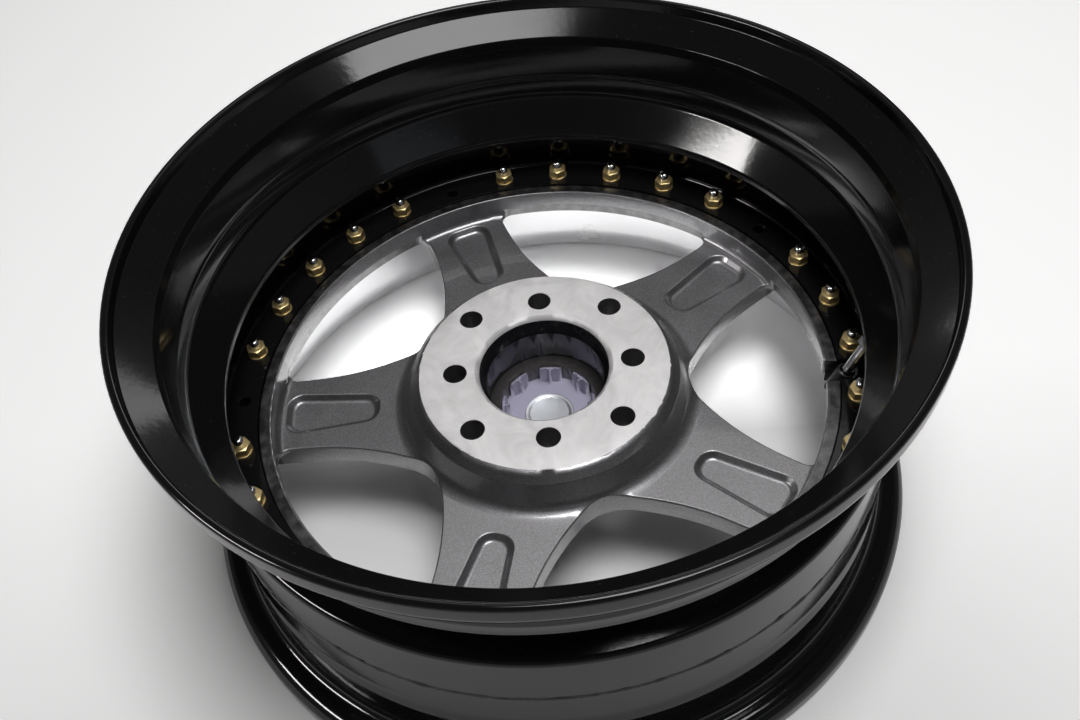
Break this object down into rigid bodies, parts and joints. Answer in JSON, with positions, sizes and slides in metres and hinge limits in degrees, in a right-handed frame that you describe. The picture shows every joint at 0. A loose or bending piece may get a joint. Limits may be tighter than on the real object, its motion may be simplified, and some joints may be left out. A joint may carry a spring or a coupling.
{
  "type": "car wheel",
  "caption": "Bolted multi-piece car wheel: black rim halves, a gunmetal spoked centre with a flat hub pad, a ring of bolts and nuts, a tyre valve and a centre cap.",
  "frame": {"origin": "centre of the flat hub pad that meets the vehicle", "axes": "+Z along the wheel axis towards the vehicle, +X through the middle of the window beside the tyre valve"},
  "size_m": [0.4128, 0.4128, 0.1992],
  "materials": {
    "barrel_paint": "aluminium under gloss black paint",
    "lip_paint": "aluminium, gloss black tyre side and polished street side",
    "sealant": "cured black sealant",
    "centre_paint": "cast aluminium under gunmetal paint, hub pad bare",
    "cap_plastic": "moulded plastic, satin",
    "plated_disc": "bright plated",
    "valve_metal": "nickel plated",
    "valve_rubber": "moulded",
    "valve_cap_plastic": "moulded",
    "bolt_steel": "bright plated",
    "gold_zinc": "yellow chromate over zinc"
  },
  "bodies": {
    "root": {"bolts_bay_1": "bolt_steel", "bolts_bay_2": "bolt_steel", "bolts_bay_3": "bolt_steel", "bolts_bay_4": "bolt_steel", "bolts_bay_5": "bolt_steel", "cap_disc": "plated_disc", "centre_cap": "cap_plastic", "inner_barrel": "barrel_paint", "nuts_bay_1": "gold_zinc", "nuts_bay_2": "gold_zinc", "nuts_bay_3": "gold_zinc", "nuts_bay_4": "gold_zinc", "nuts_bay_5": "gold_zinc", "outer_lip": "lip_paint", "seam_sealant": "sealant", "spoke_centre": "centre_paint", "valve_cap": "valve_cap_plastic", "valve_core": "valve_metal", "valve_nut": "valve_metal", "valve_seal": "valve_rubber", "valve_stem": "valve_metal", "valve_washer": "valve_metal", "washers_bay_1": "gold_zinc", "washers_bay_2": "gold_zinc", "washers_bay_3": "gold_zinc", "washers_bay_4": "gold_zinc", "washers_bay_5": "gold_zinc"}
  },
  "joints": []
}
